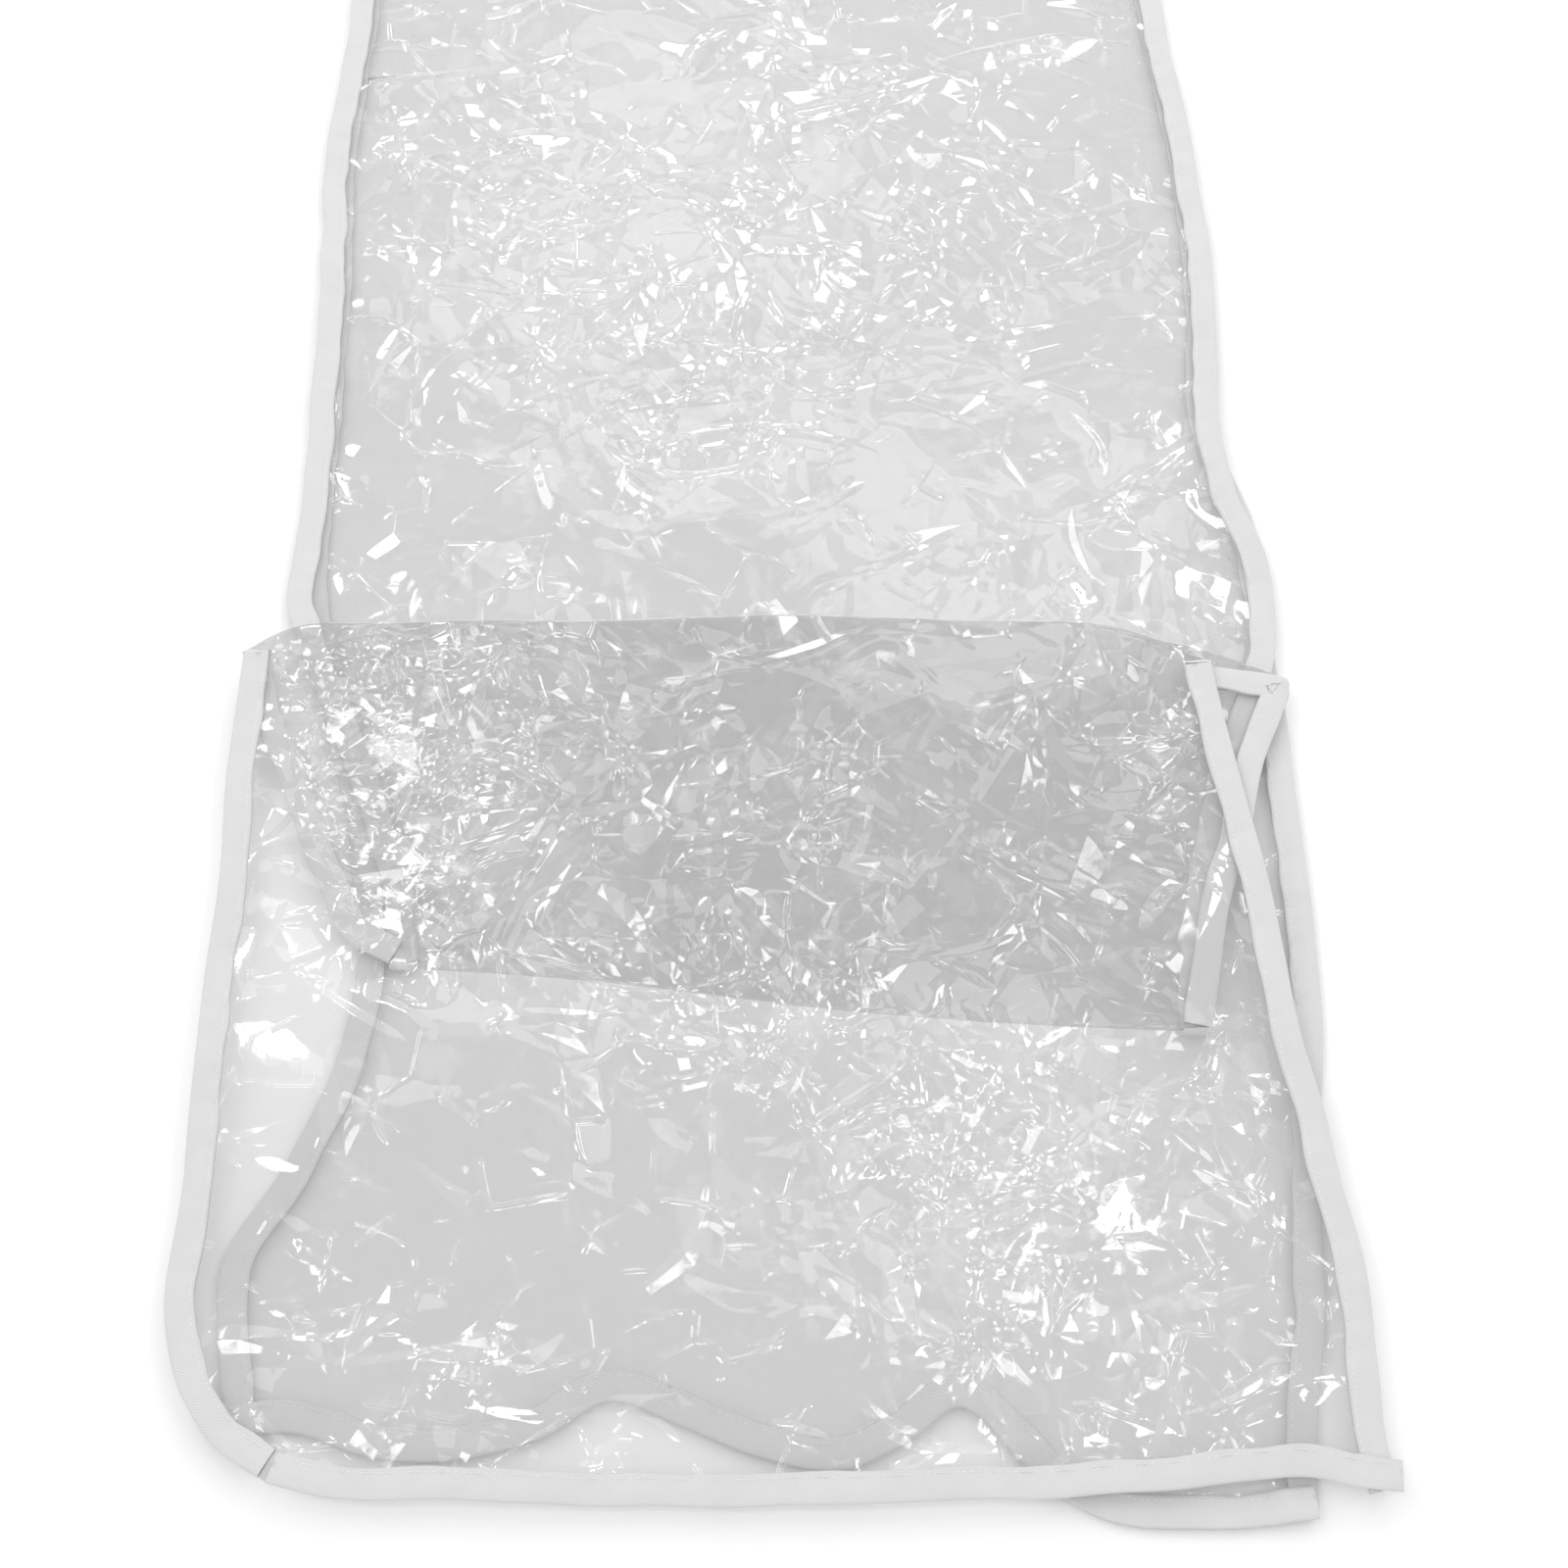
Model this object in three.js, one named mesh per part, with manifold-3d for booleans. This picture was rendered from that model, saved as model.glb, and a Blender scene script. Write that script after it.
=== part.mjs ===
// Barber cape of clear soft film, bound all round in white twill tape, lying folded on a flat surface.
// Millimetres, +Z up, origin under the middle of the cape. The hems are at -Y and the shoulders at +Y.
// Four layers lie on each other: the back panel, the yoke, the tuck and the flap. The film turns over at
// the shoulders from the back panel to the yoke, at the lower fold from the yoke to the tuck, and at the
// upper fold from the tuck to the flap. The tuck and the flap unfold about those two folds.
import * as THREE from "three";
import { mergeVertices } from "three/addons/utils/BufferGeometryUtils.js";
import Module from "manifold-3d";

const wasm = await Module();
wasm.setup();

// Driving dimensions
const capeWidth = 580; // over the side bindings
const backLength = 1136; // shoulder fold to the edge of the back hem
const yokeLength = 858; // shoulder fold to the lower fold
const tuckLength = 230; // lower fold to the upper fold
const flapLength = 493; // upper fold to the edge of the front hem
const filmThickness = 0.6;
const bindingWidth = 14; // what shows of the folded tape on one face
const bindingThickness = 3;
const clearance = 0.3; // between pieces that touch
const neckHalfWidth = 100; // of the hole in the film
const neckDepth = 80; // from the shoulder fold, on the front and on the back
const neckSegments = 20; // per half turn of the neck ellipse

// Layers, by the height of the film's middle
const layerPitch = bindingThickness + clearance;
const layerHeight = (layer) => bindingThickness / 2 + layer * layerPitch;
const [backLayer, yokeLayer, tuckLayer, flapLayer] = [0, 1, 2, 3].map(layerHeight);

// The binding is a channel: its slot holds the film with the clearance on both faces and at the edge.
const slotThickness = filmThickness + 2 * clearance;
const bindingWall = (bindingThickness - slotThickness) / 2;
const filmInset = bindingWall + clearance;
const shoulderReach = (layerPitch + bindingThickness) / 2;

// Places along Y, with the whole cape centred on the origin
const frontReach = yokeLength - tuckLength + flapLength;
const shoulderY = (Math.max(backLength, frontReach) - shoulderReach) / 2;
const backHemY = shoulderY - backLength;
const lowerFoldY = shoulderY - yokeLength;
const upperFoldY = lowerFoldY + tuckLength;
const frontHemY = upperFoldY - flapLength;
const halfWidth = capeWidth / 2;
const filmX = [filmInset - halfWidth, halfWidth - filmInset];
const hemToSide = bindingWidth + clearance; // where a side binding starts, from the hem's edge

const filmColor = 0xd9dcde;
const tapeColor = 0xe4e4e2;

function toSolid(geometry) {
  const bare = geometry.index ? geometry.toNonIndexed() : geometry.clone();
  bare.deleteAttribute("normal");
  bare.deleteAttribute("uv");
  const merged = mergeVertices(bare, 1e-4);
  return new wasm.Manifold(
    new wasm.Mesh({
      numProp: 3,
      vertProperties: new Float32Array(merged.attributes.position.array),
      triVerts: new Uint32Array(merged.index.array),
    }),
  );
}

function toGeometry(solid) {
  const mesh = solid.getMesh();
  const geometry = new THREE.BufferGeometry();
  geometry.setAttribute("position", new THREE.BufferAttribute(mesh.vertProperties, 3));
  geometry.setIndex(new THREE.BufferAttribute(mesh.triVerts, 1));
  geometry.computeVertexNormals();
  return geometry;
}

// A block between two corners, each [x, y, z].
function block(low, high) {
  const size = high.map((value, axis) => value - low[axis]);
  const middle = high.map((value, axis) => (value + low[axis]) / 2);
  return toSolid(new THREE.BoxGeometry(...size).translate(...middle));
}

// A flat layer about the height z, from y0 to y1 and from x0 to x1.
function layer(z, thickness, [x0, x1], [y0, y1]) {
  return block([x0, y0, z - thickness / 2], [x1, y1, z + thickness / 2]);
}

// The back panel, the turn over the shoulders and the yoke as one folded strip, from x0 to x1.
function foldedStrip(thickness, [x0, x1], backEnd, yokeEnd) {
  const half = thickness / 2;
  const middle = (backLayer + yokeLayer) / 2;
  const turn = layerPitch / 2;
  const outline = new THREE.Shape();
  outline.moveTo(backEnd, backLayer - half);
  outline.lineTo(shoulderY, backLayer - half);
  outline.absarc(shoulderY, middle, turn + half, -Math.PI / 2, Math.PI / 2, false);
  outline.lineTo(yokeEnd, yokeLayer + half);
  outline.lineTo(yokeEnd, yokeLayer - half);
  outline.lineTo(shoulderY, yokeLayer - half);
  outline.absarc(shoulderY, middle, turn - half, Math.PI / 2, -Math.PI / 2, true);
  outline.lineTo(backEnd, backLayer + half);
  outline.closePath();
  const strip = new THREE.ExtrudeGeometry(outline, { depth: x1 - x0, bevelEnabled: false, curveSegments: 8 });
  const alongX = new THREE.Matrix4().makeBasis(
    new THREE.Vector3(0, 1, 0),
    new THREE.Vector3(0, 0, 1),
    new THREE.Vector3(1, 0, 0),
  );
  return toSolid(strip.applyMatrix4(alongX).translate(x0, 0, 0));
}

// An upright elliptical core on the shoulder fold, larger than the neck hole by grow.
function neckCore(grow) {
  const margin = bindingThickness;
  const outline = new THREE.Shape();
  outline.absellipse(0, shoulderY, neckHalfWidth + grow, neckDepth + grow, 0, 2 * Math.PI, false);
  const core = new THREE.ExtrudeGeometry(outline, {
    depth: flapLayer + 2 * margin,
    bevelEnabled: false,
    curveSegments: neckSegments,
  });
  return toSolid(core.translate(0, 0, -margin));
}

// The span in X of a side's binding, and of the slot in it, which runs out past its inner edge.
function sideSpans(side) {
  const inner = halfWidth - bindingWidth;
  const spans = [
    [inner, halfWidth],
    [inner - 1, halfWidth - bindingWall],
  ];
  return spans.map(([low, high]) => (side > 0 ? [low, high] : [-high, -low]));
}

function sideBinding(z, side, spanY) {
  const [tape, slot] = sideSpans(side);
  const slotY = [spanY[0] - 1, spanY[1] + 1];
  return layer(z, bindingThickness, tape, spanY).subtract(layer(z, slotThickness, slot, slotY));
}

function hemBinding(z, edgeY) {
  const slotX = halfWidth - bindingWall;
  const tape = layer(z, bindingThickness, [-halfWidth, halfWidth], [edgeY, edgeY + bindingWidth]);
  const slotY = [edgeY + bindingWall, edgeY + bindingWidth + 1];
  return tape.subtract(layer(z, slotThickness, [-slotX, slotX], slotY));
}

function foldedSideBinding(side) {
  const [tape, slot] = sideSpans(side);
  const backEnd = backHemY + hemToSide;
  const yokeEnd = lowerFoldY + clearance / 2;
  return foldedStrip(bindingThickness, tape, backEnd, yokeEnd).subtract(
    foldedStrip(slotThickness, slot, backEnd - 1, yokeEnd - 1),
  );
}

function neckBinding() {
  const endY = shoulderY - neckDepth - 2 * bindingWidth;
  const across = [-neckHalfWidth - 2 * bindingWidth, neckHalfWidth + 2 * bindingWidth];
  const ring = neckCore(bindingWidth - filmInset).subtract(neckCore(-filmInset));
  const slot = foldedStrip(slotThickness, across, endY, endY).subtract(neckCore(-clearance));
  return foldedStrip(bindingThickness, across, endY, endY).intersect(ring).subtract(slot);
}

function bodyFilm() {
  const strip = foldedStrip(filmThickness, filmX, backHemY + filmInset, lowerFoldY + clearance / 2);
  return strip.subtract(neckCore(0));
}

const cape = new THREE.Group();

function add(name, solid, isFilm) {
  const finish = isFilm
    ? { color: filmColor, roughness: 0.12, metalness: 0, transparent: true, opacity: 0.45 }
    : { color: tapeColor, roughness: 0.9, metalness: 0 };
  const mesh = new THREE.Mesh(toGeometry(solid), new THREE.MeshStandardMaterial(finish));
  mesh.name = name;
  cape.add(mesh);
}

const tuckY = [lowerFoldY + clearance / 2, upperFoldY - clearance / 2];
const flapFilmY = [frontHemY + filmInset, upperFoldY - clearance / 2];
const flapSideY = [frontHemY + hemToSide, upperFoldY - clearance / 2];

// Back panel and yoke
add("body_film", bodyFilm(), true);
add("back_hem_binding", hemBinding(backLayer, backHemY), false);
add("neck_binding", neckBinding(), false);
// Tuck
add("tuck_film", layer(tuckLayer, filmThickness, filmX, tuckY), true);
// Flap
add("flap_film", layer(flapLayer, filmThickness, filmX, flapFilmY), true);
add("front_hem_binding", hemBinding(flapLayer, frontHemY), false);

for (const [sideName, side] of [
  ["left", -1],
  ["right", 1],
]) {
  add(`body_${sideName}_binding`, foldedSideBinding(side), false);
  add(`tuck_${sideName}_binding`, sideBinding(tuckLayer, side, tuckY), false);
  add(`flap_${sideName}_binding`, sideBinding(flapLayer, side, flapSideY), false);
}

export default cape;
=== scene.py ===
import math

import bpy
import numpy as np
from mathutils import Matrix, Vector


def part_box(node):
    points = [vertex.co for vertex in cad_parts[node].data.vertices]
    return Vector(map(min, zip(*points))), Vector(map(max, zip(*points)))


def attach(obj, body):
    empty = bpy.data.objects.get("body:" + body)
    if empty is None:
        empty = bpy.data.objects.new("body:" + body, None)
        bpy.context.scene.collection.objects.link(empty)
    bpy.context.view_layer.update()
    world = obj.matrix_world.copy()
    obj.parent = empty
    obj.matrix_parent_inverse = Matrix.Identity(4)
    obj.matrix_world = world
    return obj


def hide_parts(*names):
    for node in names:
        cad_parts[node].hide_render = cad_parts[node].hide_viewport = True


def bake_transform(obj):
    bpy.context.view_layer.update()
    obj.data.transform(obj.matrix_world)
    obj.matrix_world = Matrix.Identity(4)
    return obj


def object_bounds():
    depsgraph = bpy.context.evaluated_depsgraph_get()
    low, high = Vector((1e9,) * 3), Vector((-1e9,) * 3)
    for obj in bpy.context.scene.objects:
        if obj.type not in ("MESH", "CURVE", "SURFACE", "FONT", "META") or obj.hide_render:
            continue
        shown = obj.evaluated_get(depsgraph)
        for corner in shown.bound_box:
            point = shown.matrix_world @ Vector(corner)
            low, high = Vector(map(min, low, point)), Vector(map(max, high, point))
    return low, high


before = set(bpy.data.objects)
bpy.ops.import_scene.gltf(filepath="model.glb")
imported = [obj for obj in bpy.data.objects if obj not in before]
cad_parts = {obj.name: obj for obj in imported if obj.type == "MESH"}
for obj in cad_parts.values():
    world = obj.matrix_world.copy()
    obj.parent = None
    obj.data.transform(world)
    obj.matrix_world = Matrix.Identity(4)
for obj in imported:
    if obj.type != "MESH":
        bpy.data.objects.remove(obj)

# A clear film cape bound in white twill tape, lying folded: back panel, yoke, tuck and flap on each other.
# Lengths in the dictionaries are millimetres; the meshes are metres.
cadLow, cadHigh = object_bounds()
mm = 0.001
bodyName, tuckName, flapName = "cape_body", "tuck", "flap"


def spanOf(node):
    # lowest and highest corner of a CAD node, in millimetres
    low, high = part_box(node)
    return np.array(low) / mm, np.array(high) / mm


def smoothStep(t):
    # 0 to 1 with flat ends: 3t squared less 2t cubed
    t = np.clip(t, 0, 1)
    return t * t * (3 - 2 * t)


def throughStations(stations, t):
    # a smooth curve through (place, value) stations: cubic pieces with the neighbours' mean slope
    place, value = np.array(stations, float).T
    slope = np.gradient(value, place)
    k = np.clip(np.searchsorted(place, t, side="right") - 1, 0, len(place) - 2)
    step = place[k + 1] - place[k]
    s = (t - place[k]) / step
    return (
        (2 * s**3 - 3 * s**2 + 1) * value[k]
        + (s**3 - 2 * s**2 + s) * step * slope[k]
        + (3 * s**2 - 2 * s**3) * value[k + 1]
        + (s**3 - s**2) * step * slope[k + 1]
    )


# ---- places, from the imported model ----
tuckLow, tuckHigh = spanOf("tuck_left_binding")
sideX = cadHigh[0] / mm  # outer edge of the side bindings
backHemY = spanOf("back_hem_binding")[0][1]
frontHemY = spanOf("front_hem_binding")[0][1]
lowerFoldY = tuckLow[1]
upperFoldY = tuckHigh[1]
turnReach = 3.2  # how far the turn over the shoulders bulges
shoulderY = cadHigh[1] / mm - turnReach  # where the film starts to turn over
neckLow, neckHigh = spanOf("neck_binding")
tapeShown = 14.0  # what shows of the tape on one face
neckHalf = (neckHigh[0] - neckLow[0]) / 2 - tapeShown
neckDepth = shoulderY - neckLow[1] - tapeShown

# How each layer lies: its level, its straight ends, and how far its edges stray from them, as stations.
# Sides: (share from the near end to the far end, millimetres towards +X). Ends: (share from left to right,
# millimetres towards +Y).
layers = {
    "back": dict(
        level=2.1, near=backHemY, far=shoulderY, rows=372, columns=256, seed=3,
        left=[(0, 28), (.05, 20), (.08, 19), (.125, 46), (.165, 63), (.21, 73), (.27, 69), (.34, 53),
              (.40, 35), (.455, 24), (.5, 23), (.6, 23), (.655, 22), (.77, 17), (.89, 23), (1, 19)],
        right=[(0, -38), (.034, -33), (.065, -26), (.087, -21), (.11, -18), (.185, -6), (.22, 0), (.27, 3),
               (.32, 4), (.375, 6), (.41, 5), (.46, 8), (.505, 5), (.535, -4), (.585, -9), (.63, -3),
               (.70, 2), (.79, 1), (.88, -4), (1, -5)],
        nearEnd=[(0, 56), (.07, 57), (.13, 46), (.22, 43), (.29, 51), (.36, 69), (.41, 59), (.5, 40),
                 (.57, 33), (.64, 50), (.68, 61), (.73, 38), (.77, 19), (.89, 3), (1, 6)],
        farEnd=[(0, 0), (1, 0)],
    ),
    "yoke": dict(
        level=5.6, near=lowerFoldY, far=shoulderY, rows=382, columns=256, seed=11,
        left=[(0, 92), (.07, 82), (.13, 64), (.18, 48), (.22, 34), (.27, 19), (.345, 20), (.465, 20),
              (.545, 19), (.70, 13), (.85, 20), (1, 16)],
        right=[(0, -60), (.03, -58), (.10, -46), (.165, -28), (.22, -8), (.285, 9), (.345, 7), (.385, -2),
               (.45, -7), (.51, -1), (.605, 4), (.72, 3), (.835, -2), (1, -3)],
        nearEnd=[(0, 20), (.3, 6), (.5, -8), (.75, -20), (1, -28)],
        farEnd=[(0, 0), (1, 0)],
    ),
    "tuck": dict(
        level=9.2, near=lowerFoldY, far=upperFoldY, rows=110, columns=256, seed=23,
        left=[(0, 92), (.06, 70), (.16, 58), (.28, 48), (.58, 24), (.72, 12), (.86, 3), (1, -2)],
        right=[(0, -60), (.28, -44), (.52, -26), (.70, -13), (.86, 3), (.925, 8), (.965, 4), (1, -34)],
        nearEnd=[(0, 20), (.3, 6), (.5, -8), (.75, -20), (1, -28)],
        farEnd=[(0, -17), (.035, -4), (.15, 1), (.35, 0), (.6, 0), (.76, -6), (.92, -15), (1, -37)],
    ),
    "flap": dict(
        level=12.9, near=frontHemY, far=upperFoldY, rows=300, columns=256, seed=37,
        left=[(0, 52), (.03, 30), (.08, 11), (.16, -3), (.34, -2), (.48, -4), (.64, -2), (.84, -3), (1, -2)],
        right=[(0, 1), (.05, -3), (.12, -1), (.20, 0), (.32, -5), (.40, -8), (.49, -14), (.60, -18),
               (.72, -21), (.80, -25), (.90, -31), (1, -34)],
        nearEnd=[(0, 18), (.03, 13), (.18, 8), (.25, 5), (.43, 2), (.6, 2), (.72, 3), (.86, 7), (.92, 9),
                 (.97, 3), (1, 1)],
        farEnd=[(0, -17), (.035, -4), (.15, 1), (.35, 0), (.6, 0), (.76, -6), (.92, -15), (1, -37)],
    ),
}


neckFrom = 0.62  # share of the length from which the rows bend towards the neck


def topWithNeck(u, left, right):
    # the far end of the yoke and the back: straight, then half an ellipse round the neck, then straight
    arc = math.pi * math.sqrt((neckHalf**2 + neckDepth**2) / 2)
    flats = (right - left) - 2 * neckHalf
    start = (-neckHalf - left) / (flats + arc)
    end = start + arc / (flats + arc)
    t = np.clip((u - start) / (end - start), 0, 1)
    x = np.where(u < start, left + (u / start) * (-neckHalf - left), -neckHalf * np.cos(np.pi * t))
    x = np.where(u > end, neckHalf + (u - end) / (1 - end) * (right - neckHalf), x)
    return x, -neckDepth * np.sin(np.pi * t)


def placeOn(layer, u, v):
    # x and y of a layer: each side strays by its stations in v, each end by its stations in u
    left = -sideX + throughStations(layer["left"], v)
    right = sideX + throughStations(layer["right"], v)
    x = left + (right - left) * u
    near = layer["near"] + throughStations(layer["nearEnd"], u)
    far = layer["far"] + throughStations(layer["farEnd"], u)
    y = near + (far - near) * v
    if layer["far"] == shoulderY:
        topX, drop = topWithNeck(u, -sideX + layer["left"][-1][1], sideX + layer["right"][-1][1])
        flatX = (-sideX + layer["left"][-1][1]) * (1 - u) + (sideX + layer["right"][-1][1]) * u
        share = smoothStep((v - neckFrom) / (1 - neckFrom))
        x = x + (topX - flatX) * share
        y = y + drop * share
    return x, y


# ---- heights: one grid of heights a layer, read between its points ----
raster = dict(step=1.0, halfX=330.0, halfY=620.0)
rasterX, rasterY = np.meshgrid(
    np.arange(-raster["halfX"], raster["halfX"] + 1, raster["step"]),
    np.arange(-raster["halfY"], raster["halfY"] + 1, raster["step"]),
)


def readAt(field, x, y):
    # the field between its four nearest points
    col = np.clip((x + raster["halfX"]) / raster["step"], 0, field.shape[1] - 1.001)
    row = np.clip((y + raster["halfY"]) / raster["step"], 0, field.shape[0] - 1.001)
    c, r = col.astype(int), row.astype(int)
    a, b = col - c, row - r
    return (
        field[r, c] * (1 - a) * (1 - b)
        + field[r, c + 1] * a * (1 - b)
        + field[r + 1, c] * (1 - a) * b
        + field[r + 1, c + 1] * a * b
    )


def waves(draw, lengths, height):
    # a sum of cosine waves with lengths between the two given
    total = np.zeros_like(rasterX)
    for _ in range(9):
        turn, phase = draw.uniform(0, 2 * math.pi, 2)
        reach = 2 * math.pi / draw.uniform(*lengths)
        total += np.cos((rasterX * math.cos(turn) + rasterY * math.sin(turn)) * reach + phase)
    return total * height / 3


def nearestSquared(draw, x, y):
    # squared distance to the nearest of one jittered point a unit cell
    cellX, cellY = np.floor(x).astype(int), np.floor(y).astype(int)
    baseX, baseY = cellX.min() - 1, cellY.min() - 1
    jitter = draw.uniform(0.05, 0.95, (cellY.max() - baseY + 2, cellX.max() - baseX + 2, 2))
    best = np.full(x.shape, 9.0)
    for dy in (-1, 0, 1):
        for dx in (-1, 0, 1):
            j = jitter[cellY + dy - baseY, cellX + dx - baseX]
            best = np.minimum(best, (cellX + dx + j[..., 0] - x) ** 2 + (cellY + dy + j[..., 1] - y) ** 2)
    return best


def facets(draw, size, height, stretch=1.0, bend=0.25):
    # flat facets that meet in sharp creases: the difference of two nearest-point distances squared is flat
    # inside each cell and folds along the cells' edges
    turn = draw.uniform(0, math.pi)
    warpX = waves(draw, (size * 2.5, size * 5), bend * size)
    warpY = waves(draw, (size * 2.5, size * 5), bend * size)
    x, y = rasterX + warpX, rasterY + warpY
    a = (x * math.cos(turn) + y * math.sin(turn)) / (size * stretch)
    b = (y * math.cos(turn) - x * math.sin(turn)) / size
    return height * (nearestSquared(draw, a, b) - nearestSquared(draw, a + 0.37, b + 0.71))


def addCreases(field, draw, crease, span):
    # each crease is a thin leaf: a tent across it, fading to nothing at both tips and slightly curved
    count = crease["count"]
    centreX = draw.uniform(span[0], span[1], count)
    centreY = draw.uniform(span[2], span[3], count)
    for x, y, radius, share in crease["clusters"]:
        picked = draw.uniform(0, 1, count) < share
        centreX = np.where(picked, x + draw.normal(0, radius, count), centreX)
        centreY = np.where(picked, y + draw.normal(0, radius, count), centreY)
    length = crease["length"] * np.exp(draw.normal(0, 0.55, count))
    wide = crease["width"] * np.exp(draw.normal(0, 0.4, count))
    tall = crease["slope"] * wide * draw.uniform(0.35, 1.0, count) * np.sign(draw.uniform(-0.35, 1, count))
    turn = draw.uniform(0, math.pi, count)
    curl = draw.normal(0, 0.22, count) / length
    lean = draw.uniform(0.45, 1.6, count)  # how much wider one side is than the other
    for k in range(count):
        reach = length[k] + 2
        fromLeft, fromNear = centreX[k] + raster["halfX"], centreY[k] + raster["halfY"]
        c0, c1 = (int(np.clip(fromLeft + way * reach, 0, field.shape[1])) for way in (-1, 1))
        r0, r1 = (int(np.clip(fromNear + way * reach, 0, field.shape[0])) for way in (-1, 1))
        x, y = rasterX[r0:r1, c0:c1] - centreX[k], rasterY[r0:r1, c0:c1] - centreY[k]
        along = x * math.cos(turn[k]) + y * math.sin(turn[k])
        across = y * math.cos(turn[k]) - x * math.sin(turn[k]) - curl[k] * along**2
        taper = np.clip(1 - (along / length[k]) ** 2, 0, 1)
        side = np.where(across > 0, lean[k], 1.0) * wide[k] * (0.35 + 0.65 * taper)
        field[r0:r1, c0:c1] += tall[k] * taper * np.clip(1 - np.abs(across) / side, 0, 1)


undulation = waves(np.random.default_rng(5), (150, 380), 1.1)
undulation -= undulation.min()
undulation *= 1 - smoothStep((rasterY - shoulderY + 60) / 50)  # flat where the film turns over the shoulders
frontSag = 3.2 * smoothStep((lowerFoldY - 30 - rasterY) / 90)  # the flap settles where no tuck is under it

# Per layer: size and height of the flat facets, the same for the fine ones, then the leaf-shaped creases, how
# much of the layer is pressed, and clusters as (x, y, radius, share of the creases that crowd there).
crumple = {
    "back": dict(size=58, height=2.4, fine=22, fineHeight=0.6, count=150, length=26, width=7.5, slope=0.20,
                 press=0.22, clusters=[(120, -420, 70, .12)]),
    "yoke": dict(size=50, height=2.6, fine=20, fineHeight=0.7, count=240, length=25, width=7.5, slope=0.22,
                 press=0.2, clusters=[(-150, 250, 60, .16), (0, 330, 90, .04), (90, 200, 80, .1),
                                      (-40, 90, 70, .1)]),
    "tuck": dict(size=52, height=2.0, fine=22, fineHeight=0.5, count=80, length=25, width=7.5, slope=0.20,
                 press=0.26, clusters=[(-190, -150, 50, .2)]),
    "flap": dict(size=48, height=2.5, fine=19, fineHeight=0.65, count=230, length=26, width=7.5, slope=0.24,
                 press=0.36, clusters=[(-200, -150, 55, .28), (110, -430, 60, .2), (200, -180, 60, .08),
                                       (-60, -260, 70, .1)]),
}
smoothHeight, creaseHeight, crushed = {}, {}, {}
for name, layer in layers.items():
    draw = np.random.default_rng(layer["seed"])
    smoothHeight[name] = layer["level"] + undulation - (frontSag if name == "flap" else 0)
    c = crumple[name]
    busy = smoothStep(0.5 + 0.55 * waves(draw, (110, 300), 1.0))  # crushed and calm areas
    pressedHere = c["press"] * busy
    for x, y, radius, share in c["clusters"]:
        awaySquared = (rasterX - x) ** 2 + (rasterY - y) ** 2
        pressedHere += 6.5 * share * np.exp(-awaySquared / (2 * (1.05 * radius) ** 2))
        busy += 2.2 * share * np.exp(-awaySquared / (2 * (1.3 * radius) ** 2))
    field = facets(draw, c["size"], c["height"], 1.5)
    field += facets(draw, c["fine"], c["fineHeight"], 1.9) * (0.25 + busy)
    addCreases(field, draw, c, (-sideX, sideX, layer["near"], layer["far"]))
    field *= 0.45 + 0.55 * np.clip(busy, 0, 1)
    creaseHeight[name] = field
    crushed[name] = np.clip(pressedHere, 0, 2.4)
print("heights made for", len(layers), "layers")


# ---- meshes ----
def makeMesh(name, points, faces, uv=None, materialIndex=None, crush=None):
    # points in millimetres, faces as rows of corner numbers
    mesh = bpy.data.meshes.new(name)
    mesh.vertices.add(len(points))
    mesh.vertices.foreach_set("co", (points * mm).astype(np.float32).ravel())
    mesh.loops.add(faces.size)
    mesh.loops.foreach_set("vertex_index", faces.astype(np.int32).ravel())
    mesh.polygons.add(len(faces))
    mesh.polygons.foreach_set("loop_start", np.arange(0, faces.size, faces.shape[1], dtype=np.int32))
    if materialIndex is not None:
        mesh.polygons.foreach_set("material_index", materialIndex.astype(np.int32))
    mesh.polygons.foreach_set("use_smooth", np.ones(len(faces), bool))
    mesh.update(calc_edges=True)
    if uv is not None:
        mesh.uv_layers.new(name="flat").data.foreach_set("uv", uv[faces.ravel()].astype(np.float32).ravel())
    if crush is not None:
        crushes = mesh.attributes.new("crush", "FLOAT", "POINT")
        crushes.data.foreach_set("value", crush.astype(np.float32).ravel())
    mesh.validate()
    piece = bpy.data.objects.new(name, mesh)
    bpy.context.scene.collection.objects.link(piece)
    return piece


def gridFaces(rows, columns, closedRows=False, closedColumns=False, start=0):
    # quads between neighbouring rows and columns of a grid of points numbered row by row
    r = np.arange(rows if closedRows else rows - 1)
    c = np.arange(columns if closedColumns else columns - 1)
    r, c = np.meshgrid(r, c, indexing="ij")
    r2, c2 = (r + 1) % rows, (c + 1) % columns
    quads = np.stack([r * columns + c, r * columns + c2, r2 * columns + c2, r2 * columns + c], axis=-1)
    return quads.reshape(-1, 4) + start


filmInset = 1.4  # the film stops this far inside the tape's outer edge
fold = dict(turnSteps=9)
# creases keep this clear of the tape, fade in over the next stretch, and stay low at a fold
creaseEdge = dict(clear=9, fade=14, atFold=0.25, foldFade=12, lowest=0.35)
# the tuck's film stays under top, with a soft approach to it, so that it clears the floor when turned over
turnedOver = dict(top=12.6, soft=0.35)


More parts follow.
